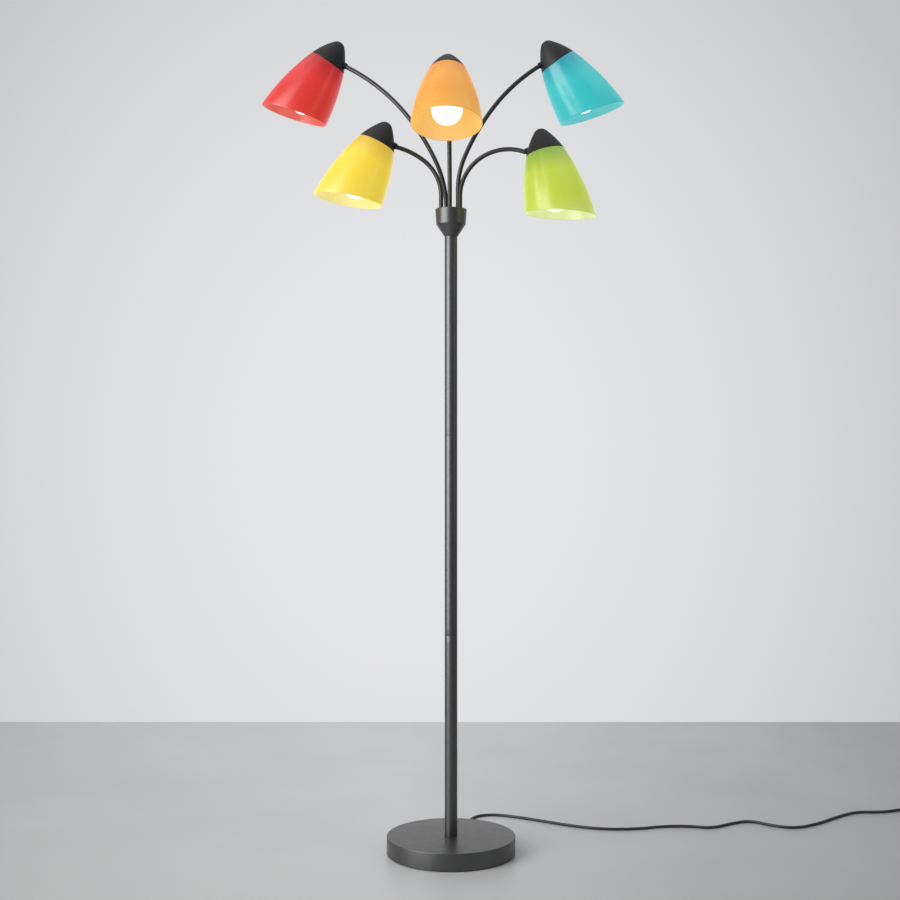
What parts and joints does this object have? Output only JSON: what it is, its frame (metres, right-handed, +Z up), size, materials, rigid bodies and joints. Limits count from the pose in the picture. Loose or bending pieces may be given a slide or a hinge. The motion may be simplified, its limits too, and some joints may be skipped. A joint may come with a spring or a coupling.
{
  "type": "tree floor lamp",
  "caption": "Floor lamp with a round weighted base, a straight pole and goosenecks that each carry a cap, a slanted translucent shade and a bulb; its cord has a foot switch and a plug.",
  "frame": {"origin": "on the floor, at the centre of the base's underside, on the pole's axis", "axes": "+Z up along the pole; -Y towards the viewer, where one head faces; +X to the viewer's right, the way the cord runs off"},
  "size_m": [1.6186, 0.6464, 1.6403],
  "materials": {
    "black_metal": "satin charcoal black powder coat",
    "black_plastic": "matte black moulded plastic",
    "cord_black": "matte black cord sheath",
    "rubber_pad": "fine-grained rubber",
    "iron_weight": "raw casting",
    "zinc_steel": "bright zinc-plated steel",
    "white_plastic": "white moulded plastic",
    "bulb_opal": "opal glass",
    "brass_blades": "plain brass",
    "shade_red": "translucent moulded plastic",
    "shade_teal": "translucent moulded plastic",
    "shade_orange": "translucent moulded plastic",
    "shade_yellow": "translucent moulded plastic",
    "shade_green": "translucent moulded plastic"
  },
  "bodies": {
    "lamp": {"base_cover": "black_metal", "base_weight": "iron_weight", "base_plate": "black_metal", "base_pad": "rubber_pad", "base_screws": "zinc_steel", "cord_strain_relief": "rubber_pad", "threaded_nipples": "zinc_steel", "lock_nuts": "zinc_steel", "pole_inserts": "zinc_steel", "pole_lower": "black_metal", "pole_middle": "black_metal", "pole_upper": "black_metal", "hub_cup": "black_metal", "hub_plate": "black_metal", "neck_nuts": "black_metal", "terminal_block": "white_plastic", "inner_cable": "cord_black", "cord_run": "cord_black", "cord_coil": "cord_black", "switch_body": "black_plastic", "plug_body": "black_plastic", "plug_blades": "brass_blades"},
    "switch_button": {"switch_button": "black_plastic"},
    "red_lower": {"red_neck_lower": "black_metal"},
    "red_middle": {"red_neck_middle": "black_metal"},
    "red_upper": {"red_neck_upper": "black_metal"},
    "red_head": {"red_cap": "black_metal", "red_socket": "black_plastic", "red_shade": "shade_red", "red_shade_ring": "black_plastic", "red_bulb": "bulb_opal"},
    "teal_lower": {"teal_neck_lower": "black_metal"},
    "teal_middle": {"teal_neck_middle": "black_metal"},
    "teal_upper": {"teal_neck_upper": "black_metal"},
    "teal_head": {"teal_cap": "black_metal", "teal_socket": "black_plastic", "teal_shade": "shade_teal", "teal_shade_ring": "black_plastic", "teal_bulb": "bulb_opal"},
    "orange_lower": {"orange_neck_lower": "black_metal"},
    "orange_upper": {"orange_neck_upper": "black_metal"},
    "orange_head": {"orange_cap": "black_metal", "orange_socket": "black_plastic", "orange_shade": "shade_orange", "orange_shade_ring": "black_plastic", "orange_bulb": "bulb_opal"},
    "yellow_lower": {"yellow_neck_lower": "black_metal"},
    "yellow_upper": {"yellow_neck_upper": "black_metal"},
    "yellow_head": {"yellow_cap": "black_metal", "yellow_socket": "black_plastic", "yellow_shade": "shade_yellow", "yellow_shade_ring": "black_plastic", "yellow_bulb": "bulb_opal"},
    "green_lower": {"green_neck_lower": "black_metal"},
    "green_upper": {"green_neck_upper": "black_metal"},
    "green_head": {"green_cap": "black_metal", "green_socket": "black_plastic", "green_shade": "shade_green", "green_shade_ring": "black_plastic", "green_bulb": "bulb_opal"}
  },
  "joints": [
    {"name": "foot_switch_press", "type": "slide", "parent": "lamp", "child": "switch_button", "axis": [0, 0, -1], "range_m": [0, 0.003], "stiffness_N_per_m": 600, "springref_m": -0.0005},
    {"name": "red_swing", "type": "hinge", "parent": "lamp", "child": "red_lower", "pos_m": [-0.00939, 0.01766, 1.278], "axis": [0, 0, 1], "range_deg": [-25, 25]},
    {"name": "red_bend", "type": "hinge", "parent": "red_lower", "child": "red_middle", "pos_m": [-0.02983, 0.02148, 1.38558], "axis": [-0.184, -0.9829, 0], "range_deg": [-10, 15]},
    {"name": "red_bend_2", "type": "hinge", "parent": "red_middle", "child": "red_upper", "pos_m": [-0.10182, 0.03496, 1.49783], "axis": [-0.184, -0.9829, 0], "range_deg": [-10, 15]},
    {"name": "red_aim", "type": "hinge", "parent": "red_upper", "child": "red_head", "pos_m": [-0.21223, 0.05562, 1.58654], "axis": [-0.184, -0.9829, 0], "range_deg": [-25, 25]},
    {"name": "teal_swing", "type": "hinge", "parent": "lamp", "child": "teal_lower", "pos_m": [0.01389, 0.01439, 1.278], "axis": [0, 0, 1], "range_deg": [-25, 25]},
    {"name": "teal_bend", "type": "hinge", "parent": "teal_lower", "child": "teal_middle", "pos_m": [0.02809, 0.01715, 1.39682], "axis": [-0.1908, 0.9816, 0], "range_deg": [-10, 15]},
    {"name": "teal_bend_2", "type": "hinge", "parent": "teal_middle", "child": "teal_upper", "pos_m": [0.07722, 0.0267, 1.48583], "axis": [-0.1908, 0.9816, 0], "range_deg": [-10, 15]},
    {"name": "teal_aim", "type": "hinge", "parent": "teal_upper", "child": "teal_head", "pos_m": [0.17808, 0.0463, 1.5854], "axis": [-0.1908, 0.9816, 0], "range_deg": [-25, 25]},
    {"name": "orange_swing", "type": "hinge", "parent": "lamp", "child": "orange_lower", "pos_m": [-0.00244, -0.01985, 1.278], "axis": [0, 0, 1], "range_deg": [-25, 25]},
    {"name": "orange_bend", "type": "hinge", "parent": "orange_lower", "child": "orange_upper", "pos_m": [-0.00318, -0.04481, 1.40946], "axis": [0.9996, -0.0297, 0], "range_deg": [-12, 20]},
    {"name": "orange_aim", "type": "hinge", "parent": "orange_upper", "child": "orange_head", "pos_m": [-0.00526, -0.1149, 1.50527], "axis": [0.9996, -0.0297, 0], "range_deg": [-25, 25]},
    {"name": "yellow_swing", "type": "hinge", "parent": "lamp", "child": "yellow_lower", "pos_m": [-0.0197, -0.00347, 1.278], "axis": [0, 0, 1], "range_deg": [-25, 25]},
    {"name": "yellow_bend", "type": "hinge", "parent": "yellow_lower", "child": "yellow_upper", "pos_m": [-0.05541, -0.00597, 1.38402], "axis": [0.0698, -0.9976, 0], "range_deg": [-15, 20]},
    {"name": "yellow_aim", "type": "hinge", "parent": "yellow_upper", "child": "yellow_head", "pos_m": [-0.10681, -0.00956, 1.40877], "axis": [0.0698, -0.9976, 0], "range_deg": [-20, 25]},
    {"name": "green_swing", "type": "hinge", "parent": "lamp", "child": "green_lower", "pos_m": [0.01798, -0.00877, 1.278], "axis": [0, 0, 1], "range_deg": [-25, 25]},
    {"name": "green_bend", "type": "hinge", "parent": "green_lower", "child": "green_upper", "pos_m": [0.0629, -0.02165, 1.38763], "axis": [0.2756, 0.9613, 0], "range_deg": [-15, 20]},
    {"name": "green_aim", "type": "hinge", "parent": "green_upper", "child": "green_head", "pos_m": [0.14464, -0.04509, 1.39201], "axis": [0.2756, 0.9613, 0], "range_deg": [-5, 30]}
  ],
  "couplings": [
    {"joint": "red_bend_2", "follows": "red_bend", "ratio": 1},
    {"joint": "teal_bend_2", "follows": "teal_bend", "ratio": 1}
  ]
}
